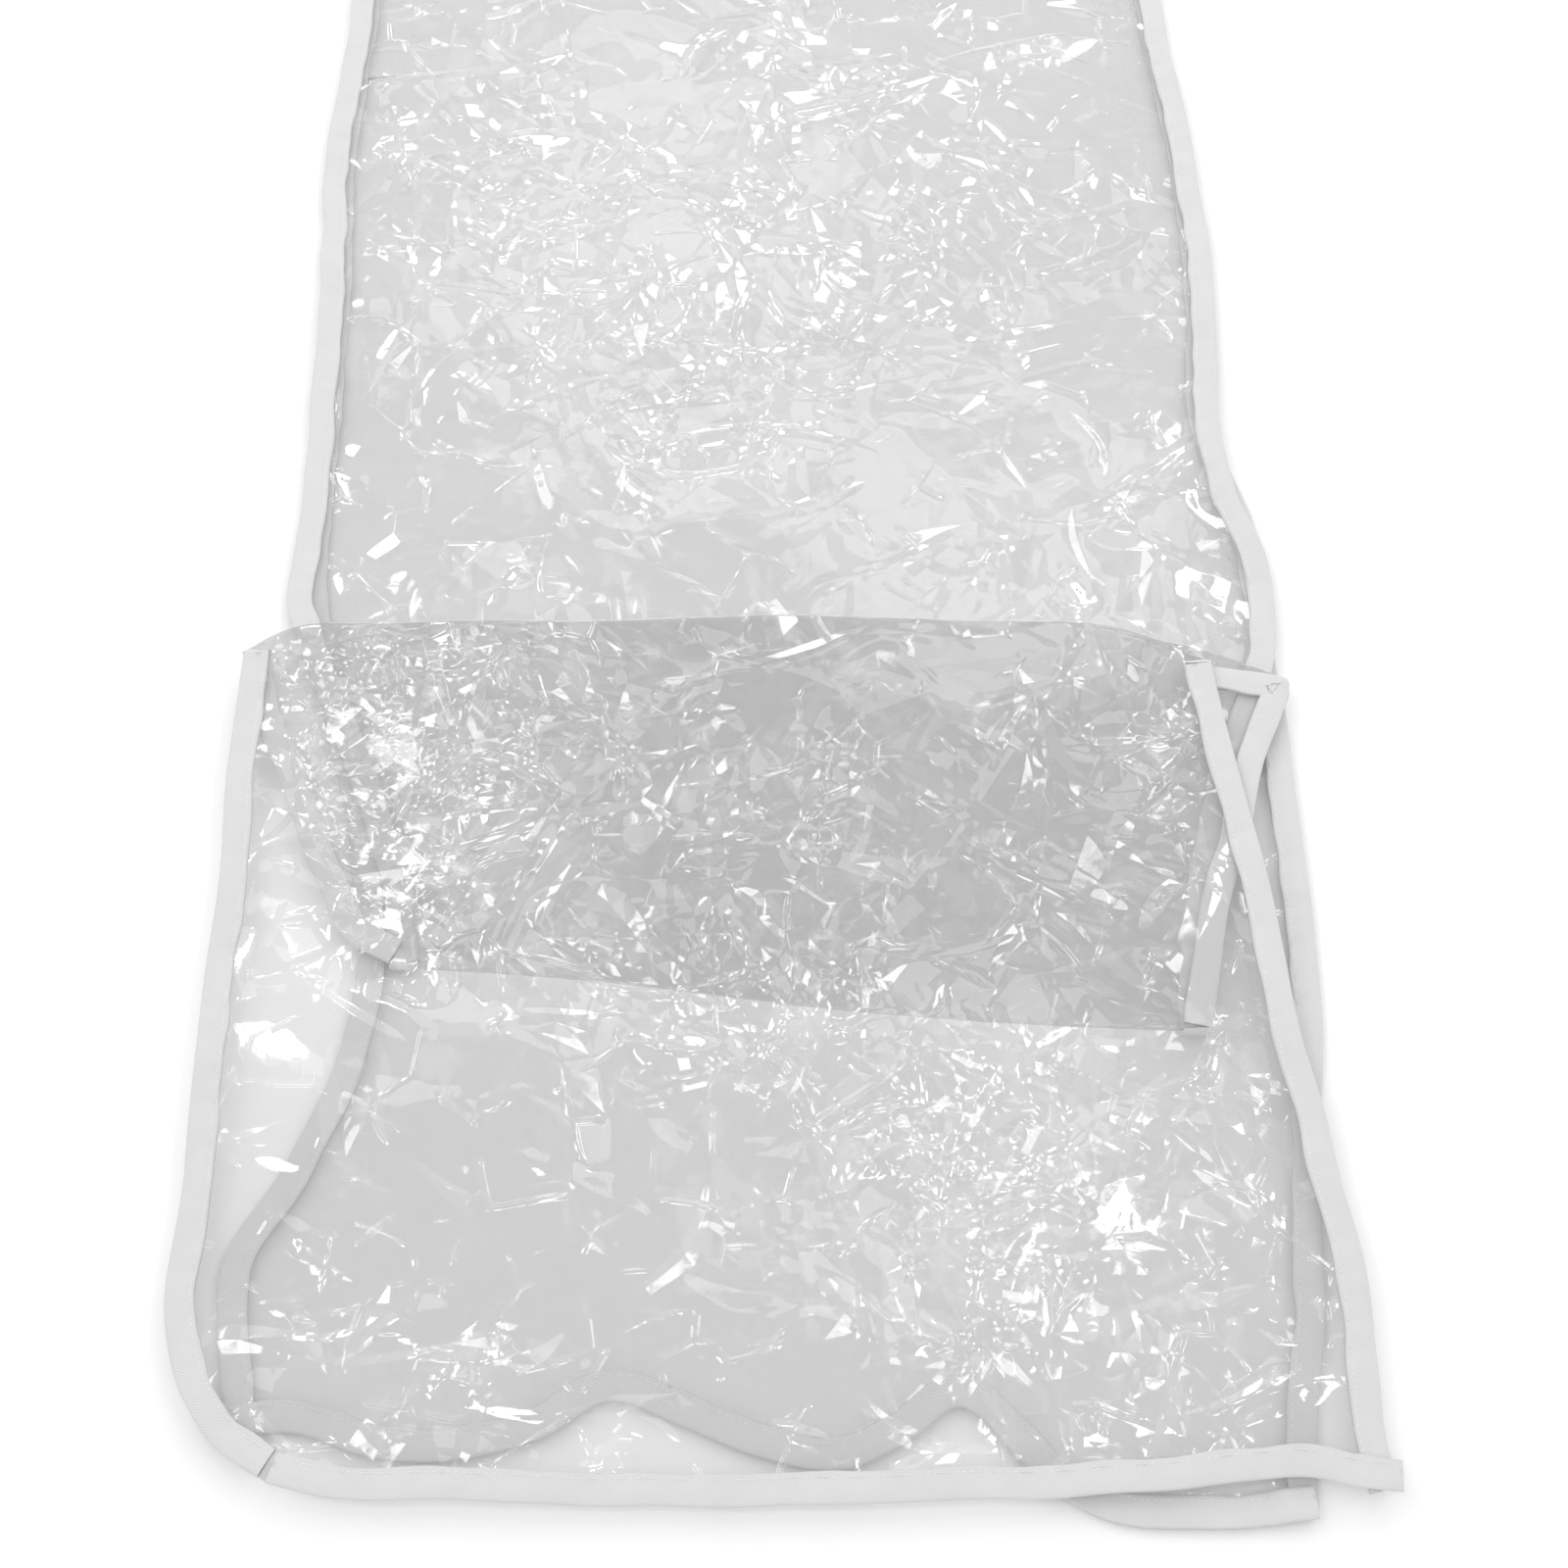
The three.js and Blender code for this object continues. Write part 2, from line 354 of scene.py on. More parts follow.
def filmPoints(name, u, v):
    # a layer's film: its place, its calm height, and creases that fade out where the tape holds the edge
    layer = layers[name]
    x, y = placeOn(layer, u, v)
    width, length = 2 * sideX - 40, layer["far"] - layer["near"]
    fromEdges = [u * width, (1 - u) * width]
    if name in ("back", "flap"):
        fromEdges.append(v * length)
    if name in ("back", "yoke"):
        topX, drop = topWithNeck(u, -sideX, sideX)
        fromEdges.append(np.where(drop < 0, (1 - v) * length, 99))
        fromEdges.append((1 - v) * length + 12)
    fade = smoothStep((np.minimum.reduce(fromEdges) - creaseEdge["clear"]) / creaseEdge["fade"])
    ends = {"yoke": [v], "tuck": [v, 1 - v], "flap": [1 - v]}.get(name, [])
    for end in ends:  # at a fold two layers share one line
        rise = smoothStep(end * length / creaseEdge["foldFade"])
        fade = fade * (creaseEdge["atFold"] + (1 - creaseEdge["atFold"]) * rise)
    z = readAt(smoothHeight[name], x, y) + fade * readAt(creaseHeight[name], x, y)
    if name == "tuck":
        over = turnedOver["soft"] * np.log1p(np.exp((turnedOver["top"] - z) / turnedOver["soft"]))
        z = turnedOver["top"] - over
    return np.stack([x, y, np.maximum(z, creaseEdge["lowest"])], axis=-1)


def columnShares(name):
    # shares across, stopping short of the tape's outer edge on both sides
    inset = filmInset / (2 * sideX)
    return np.linspace(inset, 1 - inset, layers[name]["columns"] + 1)


def rowShares(name):
    # shares along; the yoke's rows are wider apart where the flap covers it
    rows = layers[name]["rows"]
    length = layers[name]["far"] - layers[name]["near"]
    first = filmInset / length if name in ("back", "flap") else 0
    last = 1 - (filmInset / length if name in ("back", "yoke") else 0)
    if name == "yoke":
        covered, share = (upperFoldY - lowerFoldY) / length, 0.18
        return np.interp(np.linspace(0, 1, rows + 1), [0, share, 1], [first, covered, last])
    return np.linspace(first, last, rows + 1)


films = {}
for name in layers:
    u, v = np.meshgrid(columnShares(name), rowShares(name))
    films[name] = filmPoints(name, u, v)


def foldedEdge(first, second, outwards):
    # half a turn of film from one layer's edge to the next one's, bulging towards outwards along Y
    angle = np.linspace(0, math.pi, fold["turnSteps"] + 1)[:, None]
    share = (1 - np.cos(angle)) / 2
    points = first[None] * (1 - share[..., None]) + second[None] * share[..., None]
    gap = np.abs(second[:, 2] - first[:, 2]) / 2
    points[..., 1] += outwards * gap * np.sin(angle)
    return points


def addFilm(name, points, layer, flip=False):
    # the UV map is the film's own plane in metres, away from the other layers'; crush is how creased it is
    rows, columns = points.shape[:2]
    faces = gridFaces(rows, columns)
    flat = points.reshape(-1, 3)
    uv = flat[:, :2] * mm + layers[layer]["seed"] * 0.77
    crush = readAt(crushed[layer], flat[:, 0], flat[:, 1])
    return makeMesh(name, flat, faces[:, ::-1] if flip else faces, uv=uv, crush=crush)


# ---- materials ----
def linear(code):
    # an sRGB hex value as linear colour
    c = np.array([int(code[i : i + 2], 16) / 255 for i in (0, 2, 4)])
    return (*np.where(c <= 0.04045, c / 12.92, ((c + 0.055) / 1.055) ** 2.4), 1.0)


def addNode(material, kind, settings=None, links=None):
    # one node, with its settings by attribute or socket name and its links by socket name
    node = material.node_tree.nodes.new(kind)
    for key, value in (settings or {}).items():
        if isinstance(key, str) and hasattr(node, key):
            setattr(node, key, value)
        else:
            node.inputs[key].default_value = value
    for key, source in (links or {}).items():
        material.node_tree.links.new(source, node.inputs[key])
    return node


def newMaterial(name):
    # an empty node material
    material = bpy.data.materials.new(name)
    material.use_nodes = True
    material.node_tree.nodes.clear()
    return material


pressed = [  # creases too fine for the mesh, in millimetres: length, width, turn in degrees, share, height
    dict(long=44, wide=13.0, turn=62, share=0.40, tall=6.2),
    dict(long=25, wide=8.0, turn=-38, share=0.22, tall=3.9),
    dict(long=58, wide=11.0, turn=12, share=0.20, tall=5.2),
    dict(long=54, wide=23.0, turn=104, share=0.17, tall=9.9),
]


def clearFilmMaterial(haze=(0.15, 0.23)):
    # soft PVC film, calendered: clear and glossy on both faces, a little grey from plasticiser haze, with
    # pressed creases, fine stress wrinkles and hairlines between the large creases
    m = newMaterial("calenderedPvcFilm")
    place = addNode(m, "ShaderNodeTexCoord").outputs["UV"]
    crush = addNode(m, "ShaderNodeAttribute", {"attribute_name": "crush"}).outputs["Fac"]
    cloud = addNode(m, "ShaderNodeTexNoise", {"Scale": 1 / (55 * mm), "Detail": 4.0, "Roughness": 0.6},
                    {"Vector": place})
    amount = addNode(m, "ShaderNodeMapRange",
                     {"From Min": 0.3, "From Max": 0.72, "To Min": haze[0], "To Max": haze[1]},
                     {"Value": cloud.outputs["Fac"]})
    wrinkle = addNode(m, "ShaderNodeTexNoise",
                      {"Scale": 1 / (11 * mm), "Detail": 2.0, "Roughness": 0.5, "Distortion": 1.2},
                      {"Vector": place})
    soft = addNode(m, "ShaderNodeBump", {"Strength": 1.0, "Distance": 0.05 * mm},
                   {"Height": wrinkle.outputs["Fac"]})
    drift = addNode(m, "ShaderNodeTexNoise", {"Scale": 1 / (100 * mm), "Detail": 0.0}, {"Vector": place})
    pulled = addNode(m, "ShaderNodeVectorMath", {"operation": "MULTIPLY_ADD", 1: (46 * mm,) * 3},
                     {0: drift.outputs["Color"], 2: place})
    cells = addNode(m, "ShaderNodeTexVoronoi",
                    {"voronoi_dimensions": "2D", "feature": "DISTANCE_TO_EDGE", "Scale": 1 / (46 * mm)},
                    {"Vector": pulled.outputs[0]})
    ridge = addNode(m, "ShaderNodeMapRange",
                    {"interpolation_type": "SMOOTHSTEP", "From Min": 0.0, "From Max": 0.05,
                     "To Min": 0.62 * mm, "To Max": 0.0},
                    {"Value": cells.outputs["Distance"]})
    patchy = addNode(m, "ShaderNodeTexNoise", {"Scale": 1 / (30 * mm), "Detail": 1.0}, {"Vector": place})
    there = addNode(m, "ShaderNodeMapRange", {"From Min": 0.5, "From Max": 0.6},
                    {"Value": patchy.outputs["Fac"]})
    height = addNode(m, "ShaderNodeMath", {"operation": "MULTIPLY"},
                     {0: ridge.outputs[0], 1: there.outputs[0]})
    # a crease is a long cell with flat sides that meet in a ridge; only some cells are pressed
    for crease in pressed:
        turned = addNode(m, "ShaderNodeMapping",
                         {"vector_type": "TEXTURE", "Rotation": (0, 0, math.radians(crease["turn"])),
                          "Scale": (crease["long"] * mm, crease["wide"] * mm, 1)},
                         {"Vector": pulled.outputs[0]})
        roof = addNode(m, "ShaderNodeTexVoronoi",
                       {"voronoi_dimensions": "2D", "feature": "DISTANCE_TO_EDGE", "Scale": 1.0},
                       {"Vector": turned.outputs[0]})
        cell = addNode(m, "ShaderNodeTexVoronoi", {"voronoi_dimensions": "2D", "Scale": 1.0},
                       {"Vector": turned.outputs[0]})
        draw = addNode(m, "ShaderNodeSeparateColor", {}, {0: cell.outputs["Color"]})
        limit = addNode(m, "ShaderNodeMath", {"operation": "MULTIPLY", 1: crease["share"]}, {0: crush})
        chosen = addNode(m, "ShaderNodeMath", {"operation": "LESS_THAN"},
                         {0: draw.outputs[0], 1: limit.outputs[0]})
        tall = addNode(m, "ShaderNodeMapRange",
                       {"To Min": 0.4 * crease["tall"] * mm, "To Max": crease["tall"] * mm},
                       {"Value": draw.outputs[1]})
        rise = addNode(m, "ShaderNodeMath", {"operation": "MULTIPLY"},
                       {0: chosen.outputs[0], 1: tall.outputs[0]})
        height = addNode(m, "ShaderNodeMath", {"operation": "MULTIPLY_ADD"},
                         {0: rise.outputs[0], 1: roof.outputs["Distance"], 2: height.outputs[0]})
    bump = addNode(m, "ShaderNodeBump", {"Strength": 1.0, "Distance": 1.0},
                   {"Height": height.outputs[0], "Normal": soft.outputs["Normal"]})
    clear = addNode(m, "ShaderNodeBsdfTransparent", {"Color": linear("e6e6e6")})
    milk = addNode(m, "ShaderNodeBsdfPrincipled",
                   {"Base Color": linear("bebebe"), "Roughness": 0.35, "IOR": 1.53})
    body = addNode(m, "ShaderNodeMixShader", {},
                   {0: amount.outputs["Result"], 1: clear.outputs[0], 2: milk.outputs[0]})
    gloss = addNode(m, "ShaderNodeBsdfAnisotropic", {"Color": linear("ffffff"), "Roughness": 0.05},
                    {"Normal": bump.outputs["Normal"]})
    # how much it mirrors: 8.5% straight on, two faces of IOR 1.53, rising with the fifth power of the slant
    slant = addNode(m, "ShaderNodeLayerWeight", {"Blend": 0.5}, {"Normal": bump.outputs["Normal"]})
    fifth = addNode(m, "ShaderNodeMath", {"operation": "POWER", 1: 5.0}, {0: slant.outputs["Facing"]})
    mirror = addNode(m, "ShaderNodeMapRange", {"To Min": 0.085, "To Max": 1.0}, {"Value": fifth.outputs[0]})
    both = addNode(m, "ShaderNodeMixShader", {},
                   {0: mirror.outputs[0], 1: body.outputs[0], 2: gloss.outputs[0]})
    addNode(m, "ShaderNodeOutputMaterial", {}, {"Surface": both.outputs[0]})
    return m


def twillTapeMaterial():
    # bleached cotton twill tape: matt, with steep diagonal ribs; ribs 1.3 mm apart,
    # coarser than the real 0.8 mm so that they just show
    m = newMaterial("bleachedTwillTape")
    place = addNode(m, "ShaderNodeTexCoord").outputs["UV"]
    turned = addNode(m, "ShaderNodeMapping", {"Rotation": (0, 0, math.radians(38))}, {"Vector": place})
    ribs = addNode(m, "ShaderNodeTexWave",
                   {"wave_profile": "SIN", "Scale": 2 * math.pi / (20 * 1.3 * mm), "Distortion": 0.7,
                    "Detail": 1.0, "Detail Scale": 2.0},
                   {"Vector": turned.outputs["Vector"]})
    threads = addNode(m, "ShaderNodeTexNoise", {"Scale": 1 / (0.9 * mm), "Detail": 2.0}, {"Vector": place})
    soil = addNode(m, "ShaderNodeTexNoise", {"Scale": 1 / (26 * mm), "Detail": 3.0}, {"Vector": place})
    height = addNode(m, "ShaderNodeMath", {"operation": "MULTIPLY_ADD", 1: 0.35},
                     {0: threads.outputs["Fac"], 2: ribs.outputs["Fac"]})
    bump = addNode(m, "ShaderNodeBump", {"Strength": 0.3, "Distance": 0.2 * mm},
                   {"Height": height.outputs[0]})
    # painted shade: where the ribs are low in the bump they are coloured darker (d2d2d2), and their crowns
    # lighter (dbdbdb)
    ribToneWithPaintedShade = addNode(m, "ShaderNodeMix",
                      {"data_type": "RGBA", "blend_type": "MIX", 6: linear("d2d2d2"), 7: linear("dbdbdb")},
                      {0: ribs.outputs["Fac"]})
    tone = addNode(m, "ShaderNodeMix",
                   {"data_type": "RGBA", "blend_type": "MULTIPLY", 0: 0.5, 7: linear("e2e2e2")},
                   {6: ribToneWithPaintedShade.outputs[2]})
    mottled = addNode(m, "ShaderNodeMix", {"data_type": "RGBA", "blend_type": "MIX"},
                      {0: soil.outputs["Fac"], 6: ribToneWithPaintedShade.outputs[2], 7: tone.outputs[2]})
    cotton = addNode(m, "ShaderNodeBsdfPrincipled",
                     {"Roughness": 0.9, "Sheen Weight": 0.15, "Sheen Roughness": 0.5,
                      "Specular IOR Level": 0.3},
                     {"Base Color": mottled.outputs[2], "Normal": bump.outputs["Normal"]})
    addNode(m, "ShaderNodeOutputMaterial", {}, {"Surface": cotton.outputs[0]})
    return m


def threadMaterial():
    # spun polyester sewing thread: white, slightly lustrous, with a twist of 0.5 mm
    m = newMaterial("polyesterThread")
    place = addNode(m, "ShaderNodeTexCoord").outputs["Object"]
    twist = addNode(m, "ShaderNodeTexNoise", {"Scale": 1 / (0.5 * mm), "Detail": 1.0}, {"Vector": place})
    bump = addNode(m, "ShaderNodeBump", {"Strength": 0.4, "Distance": 0.1 * mm},
                   {"Height": twist.outputs["Fac"]})
    # painted shade: where the twist is low in the bump the thread is coloured darker (dcdcdb), and where it is
    # high lighter (f0f0ef)
    tone = addNode(m, "ShaderNodeMix", {"data_type": "RGBA", 6: linear("dcdcdb"), 7: linear("f0f0ef")},
                   {0: twist.outputs["Fac"]})
    spun = addNode(m, "ShaderNodeBsdfPrincipled", {"Roughness": 0.55},
                   {"Base Color": tone.outputs[2], "Normal": bump.outputs["Normal"]})
    addNode(m, "ShaderNodeOutputMaterial", {}, {"Surface": spun.outputs[0]})
    return m


film, twill, thread = clearFilmMaterial(), twillTapeMaterial(), threadMaterial()


# ---- film pieces ----
filmPieces = {}
shoulderTurn = foldedEdge(films["yoke"][-1], films["back"][-1], 1)
backAndTurn = np.concatenate([films["back"], shoulderTurn[::-1][1:]])
filmPieces["back"] = addFilm("back_panel_film", backAndTurn, "back")
filmPieces["yoke"] = addFilm("yoke_film", films["yoke"], "yoke")
filmPieces["tuck"] = addFilm("tuck_panel_film", films["tuck"], "tuck", flip=True)
filmPieces["flap"] = addFilm("flap_panel_film", films["flap"], "flap")
lowerTurn = foldedEdge(films["yoke"][0], films["tuck"][0], -1)
upperTurn = foldedEdge(films["tuck"][-1], films["flap"][-1], 1)
filmPieces["lower"] = addFilm("lower_fold_film", lowerTurn, "tuck", flip=True)
filmPieces["upper"] = addFilm("upper_fold_film", upperTurn, "flap")
for piece in filmPieces.values():
    piece.data.materials.append(film)
    # clear film hardly dims what lies under it
    piece.visible_shadow = piece.visible_diffuse = piece.visible_glossy = False
print("film pieces", {k: len(p.data.polygons) for k, p in filmPieces.items()})


# ---- tape ----
tape = dict(width=15.0, ply=0.62, gap=0.5, bulge=0.35, step=3.6, waver=0.5, pucker=0.16)
stitch = dict(pitch=3.4, length=2.7, radius=0.24, fromInner=2.4, sides=6, rings=5)


def tapeProfile():
    # the folded tape's outline, as (in from the outer edge, up): two plies round the film, with a soft
    # rounded fold at the outer edge, slightly plump in the middle and pinched at the stitch line
    s = np.concatenate([np.linspace(tape["width"], 2.2, 9), [1.2, 0.5, 0.12]])
    plump = tape["gap"] / 2 + tape["ply"] + tape["bulge"] * np.exp(-(((s - 5.5) / 3.6) ** 2))
    plump -= 0.22 * np.exp(-(((s - (tape["width"] - stitch["fromInner"])) / 0.9) ** 2))
    plump *= np.sqrt(np.clip(1 - np.clip(1 - s / 1.6, 0, 1) ** 2, 0, 1))
    top = np.stack([s, plump], axis=1)
    bottom = np.stack([s[::-1], -plump[::-1]], axis=1)
    inside = np.array([[tape["width"], -tape["gap"] / 2], [1.5, -tape["gap"] / 2], [1.0, 0],
                       [1.5, tape["gap"] / 2], [tape["width"], tape["gap"] / 2]])
    return np.concatenate([top, [[0, 0]], bottom, inside])


profile = tapeProfile()
profileLength = np.concatenate([[0], np.cumsum(np.linalg.norm(np.diff(profile, axis=0), axis=1))])


def resampled(points, step):
    # the same line with even steps
    gone = np.concatenate([[0], np.cumsum(np.linalg.norm(np.diff(points, axis=0), axis=1))])
    places = np.linspace(0, gone[-1], max(3, int(round(gone[-1] / step)) + 1))
    return np.stack([np.interp(places, gone, points[:, k]) for k in range(points.shape[1])], axis=1)


def stitchRow(path, across, up, offset, lift):
    # short capsules along a line on the tape, each dipping into it at both ends
    gone = np.concatenate([[0], np.cumsum(np.linalg.norm(np.diff(path, axis=0), axis=1))])
    count = int((gone[-1] - 6) / stitch["pitch"])
    if count < 1:
        return np.zeros((0, 3)), np.zeros((0, 4), int)
    centres = 4 + np.arange(count) * stitch["pitch"]
    t = np.linspace(-1, 1, stitch["rings"])
    places = (centres[:, None] + t[None] * stitch["length"] / 2).ravel()
    at = np.stack([np.interp(places, gone, path[:, k]) for k in range(3)], axis=1)
    side = np.stack([np.interp(places, gone, across[:, k]) for k in range(3)], axis=1)
    rise = np.stack([np.interp(places, gone, up[:, k]) for k in range(3)], axis=1)
    shape = np.tile(np.sqrt(np.clip(1 - t**2, 0, 1)), count)
    radius = stitch["radius"] * (0.15 + 0.85 * shape)
    middle = at + side * offset + rise * (lift - 0.25 + 0.32 * shape)[:, None]
    turn = np.linspace(0, 2 * math.pi, stitch["sides"], endpoint=False)
    ring = (side[:, None] * np.cos(turn)[None, :, None] + rise[:, None] * np.sin(turn)[None, :, None])
    points = middle[:, None] + ring * radius[:, None, None]
    rings, sides = stitch["rings"], stitch["sides"]
    one = gridFaces(rings, sides, closedColumns=True)
    caps = np.array([[3, 2, 1, 0], [5, 4, 3, 0]])
    one = np.concatenate([one, caps, caps[:, ::-1] + (rings - 1) * sides])
    faces = (one[None] + (np.arange(count) * rings * sides)[:, None, None]).reshape(-1, 4)
    return points.reshape(-1, 3), faces


def sweepTape(name, path, across, up, height, closed=False, seed=1, stitchFaces=(1,)):
    # the profile carried along a path; across points from the tape's outer edge to the film, up is its face
    draw = np.random.default_rng(seed)
    count = len(path)
    gone = np.concatenate([[0], np.cumsum(np.linalg.norm(np.diff(path, axis=0), axis=1))])
    total = gone[-1] + (np.linalg.norm(path[0] - path[-1]) if closed else 0)

    def ripple(shortest, longest):
        # a sum of waves along the path that closes on itself
        swing = np.zeros(count)
        for _ in range(6):
            turns = max(1, round(total / draw.uniform(shortest, longest)))
            swing += np.cos(2 * math.pi * turns * gone / total + draw.uniform(0, 2 * math.pi))
        return swing / 2.4

    waver, pucker, swell = ripple(45, 140), ripple(9, 22), ripple(25, 60)
    s = profile[None, :, 0] * (1 + 0.03 * swell[:, None])
    t = profile[None, :, 1] * (1 + 0.10 * pucker[:, None])
    crease = tape["pucker"] * pucker[:, None] * np.exp(-(((s - 11) / 4) ** 2))
    outer = path + across * (tape["waver"] * waver[:, None])
    points = outer[:, None] + across[:, None] * s[..., None] + up[:, None] * (t + crease)[..., None]
    points[..., 2] += height(points[..., 0], points[..., 1])
    columns = len(profile)
    faces = gridFaces(count, columns, closedRows=closed, closedColumns=True)
    flat = points.reshape(-1, 3)
    uv = np.stack(np.broadcast_arrays(gone[:, None], profileLength[None]), axis=-1).reshape(-1, 2) * mm
    caps = []
    if not closed:  # each end is closed by quads between the top half and the bottom half of the U
        strip = capQuads()
        for base, flip in ((0, False), ((count - 1) * columns, True)):
            caps.append((strip[:, ::-1] if flip else strip) + base)
    solid = np.concatenate([faces, *caps]) if caps else faces
    if orientation(flat, solid) < 0:
        solid = solid[:, ::-1]
    allPoints, allFaces, index, allUv = [flat], [solid], [np.zeros(len(solid))], [uv]
    offset = tape["width"] - stitch["fromInner"]
    lift = float(np.interp(offset, profile[:9][::-1, 0], profile[:9][::-1, 1]))
    for face in stitchFaces:
        rowPoints, rowFaces = stitchRow(outer, across, up * face, offset, lift)
        if len(rowFaces):
            rowPoints[:, 2] += height(rowPoints[:, 0], rowPoints[:, 1])
            if orientation(rowPoints, rowFaces) < 0:
                rowFaces = rowFaces[:, ::-1]
            allFaces.append(rowFaces + sum(len(p) for p in allPoints))
            allPoints.append(rowPoints)
            index.append(np.ones(len(rowFaces)))
            allUv.append(np.zeros((len(rowPoints), 2)))
    piece = makeMesh(name, np.concatenate(allPoints), np.concatenate(allFaces), np.concatenate(allUv),
                     np.concatenate(index))
    piece.data.materials.append(twill)
    piece.data.materials.append(thread)
    return piece


def capQuads():
    # quads that close the end of the U, between the profile's outer points and its inner line 25 to 29: the top
    # ply is outer points 0 to 12 against 29, 28 and 27, the bottom ply 12 to 24 against 27, 26 and 25
    quads = []
    for start, facing in ((0, [29] * 4 + [28] * 8 + [27]), (12, [27] + [26] * 8 + [25] * 4)):
        for k in range(12):
            quads.append([start + k, start + k + 1, facing[k + 1], facing[k]])
    return np.array(quads)


def orientation(points, faces):
    # the enclosed volume, which is negative for a surface that faces inwards
    a = points[faces[:, 0]]
    volume = 0.0
    for k in range(1, faces.shape[1] - 1):
        volume += float(np.einsum("ij,ij->", a, np.cross(points[faces[:, k]], points[faces[:, k + 1]])))
    return volume


def edgeLine(name, side, start=0.0, end=1.0):
    # one side of a layer as an even line, with the direction towards the film
    layer = layers[name]
    v = np.linspace(0, 1, 500) * (end - start) + start
    x, y = placeOn(layer, np.full_like(v, 0.0 if side < 0 else 1.0), v)
    line = resampled(np.stack([x, y, np.zeros_like(x)], axis=1), tape["step"])
    return line, inwards(line, side)


def inwards(line, side):
    # unit vectors across a line in the plane, to its right for side -1 and to its left for side 1
    along = np.gradient(line, axis=0)
    along /= np.linalg.norm(along, axis=1)[:, None]
    return np.stack([along[:, 1] * -side, along[:, 0] * side, np.zeros(len(line))], axis=1)


def hemLine(name):
    # the near end of a layer as an even line, with the direction towards the film
    layer = layers[name]
    u = np.linspace(0, 1, 500)
    x, y = placeOn(layer, u, np.zeros_like(u))
    line = resampled(np.stack([x, y, np.zeros_like(x)], axis=1), tape["step"])
    return line, inwards(line, 1)


def straightUp(line):
    # the tape's face looks up all along the line
    return np.tile([0.0, 0.0, 1.0], (len(line), 1))


def heightOf(name, extra=0.0):
    # a hem rises over the side tapes' ends
    def height(x, y):
        left, right = layers[name]["left"][0][1] - sideX, layers[name]["right"][0][1] + sideX
        rise = smoothStep((np.maximum(left - x, x - right) + tape["width"] + 7) / 6) * extra
        return readAt(smoothHeight[name], x, y) + rise

    return height


tapes = {}
# the side tapes end under the hem, 3 mm from its edge, and the hem rises over them
hemShare = {"back": 3 / (shoulderY - backHemY), "flap": 3 / (upperFoldY - frontHemY)}
hemRise = 1.9
for sideName, side in (("left", -1), ("right", 1)):
    for name, seed in (("back", 50), ("yoke", 60), ("tuck", 70), ("flap", 80)):
        line, across = edgeLine(name, side, hemShare.get(name, 0.0))
        tapes[name, sideName] = sweepTape(f"{name}_{sideName}_tape", line, across, straightUp(line),
                                          heightOf(name), seed=seed + side, stitchFaces=(1,))
for name, label in (("back", "back_hem_tape"), ("flap", "front_hem_tape")):
    line, across = hemLine(name)
    tapes[name, "hem"] = sweepTape(label, line, across, straightUp(line), heightOf(name, hemRise),
                                   seed=90 + len(label))


def turnTape(label, first, second, side, outwards, seed):
    # half a turn of tape from the first layer's side to the second's, at the end that they share
    ends = []
    u, v = np.array([0.0 if side < 0 else 1.0]), np.array([1.0 if outwards > 0 else 0.0])
    for name in (first, second):
        x, y = placeOn(layers[name], u, v)
        ends.append(np.array([x[0], y[0], readAt(smoothHeight[name], x, y)[0]]))
    low, high = ends
    angle = np.linspace(0, math.pi, 11)
    share = (1 - np.cos(angle)) / 2
    gap = (high[2] - low[2]) / 2
    path = low[None] * (1 - share[:, None]) + high[None] * share[:, None]
    path[:, 1] += outwards * abs(gap) * np.sin(angle)
    up = np.stack([np.zeros(11), -outwards * np.sin(angle), np.cos(angle)], axis=1) * -1
    across = np.tile([-side * 1.0, 0.0, 0.0], (11, 1))
    return sweepTape(label, path, across, up, lambda x, y: 0 * x, seed=seed, stitchFaces=())


for sideName, side in (("left", -1), ("right", 1)):
    tapes["lower", sideName] = turnTape(f"lower_fold_{sideName}_tape", "yoke", "tuck", side, -1, 101 + side)
    tapes["upper", sideName] = turnTape(f"upper_fold_{sideName}_tape", "tuck", "flap", side, 1, 111 + side)
    tapes["shoulder", sideName] = turnTape(f"shoulder_{sideName}_tape", "back", "yoke", side, 1, 121 + side)


def neckTape():
    # one closed ring: down round the neck on the yoke, over the shoulder, back round on the back panel
    half, levels = 70, [layers["yoke"]["level"], layers["back"]["level"]]
    t = np.linspace(0, math.pi, half)[1:-1]
    middle, radius = sum(levels) / 2, (levels[0] - levels[1]) / 2
    turn = np.linspace(0, math.pi, 9)
    level = np.full_like(t, levels[0])
    front = np.stack([-neckHalf * np.cos(t), shoulderY - neckDepth * np.sin(t), level], axis=1)
    outFront = np.stack([-np.cos(t) / neckHalf, -np.sin(t) / neckDepth, 0 * t], axis=1)
    outFront /= np.linalg.norm(outFront, axis=1)[:, None]
    overRight = np.stack([np.full_like(turn, neckHalf), shoulderY + radius * np.sin(turn),
                          middle + radius * np.cos(turn)], axis=1)
    overLeft = overRight[::-1] * [-1, 1, 1]
    back = front[::-1] * [1, 1, 0] + [0, 0, levels[1]]
    path = np.concatenate([front, overRight, back, overLeft])
    toRight, upFront = np.tile([1.0, 0, 0], (len(turn), 1)), np.tile([0, 0, 1.0], (len(t), 1))
    across = np.concatenate([outFront, toRight, outFront[::-1], -toRight])
    upOver = np.stack([0 * turn, np.sin(turn), np.cos(turn)], axis=1)
    up = np.concatenate([upFront, upOver, -upFront, upOver[::-1]])
    return sweepTape("neck_tape", path, across, up, lambda x, y: 0 * x, closed=True, seed=131)


tapes["neck", ""] = neckTape()
print("tapes", len(tapes), "faces", sum(len(p.data.polygons) for p in tapes.values()))
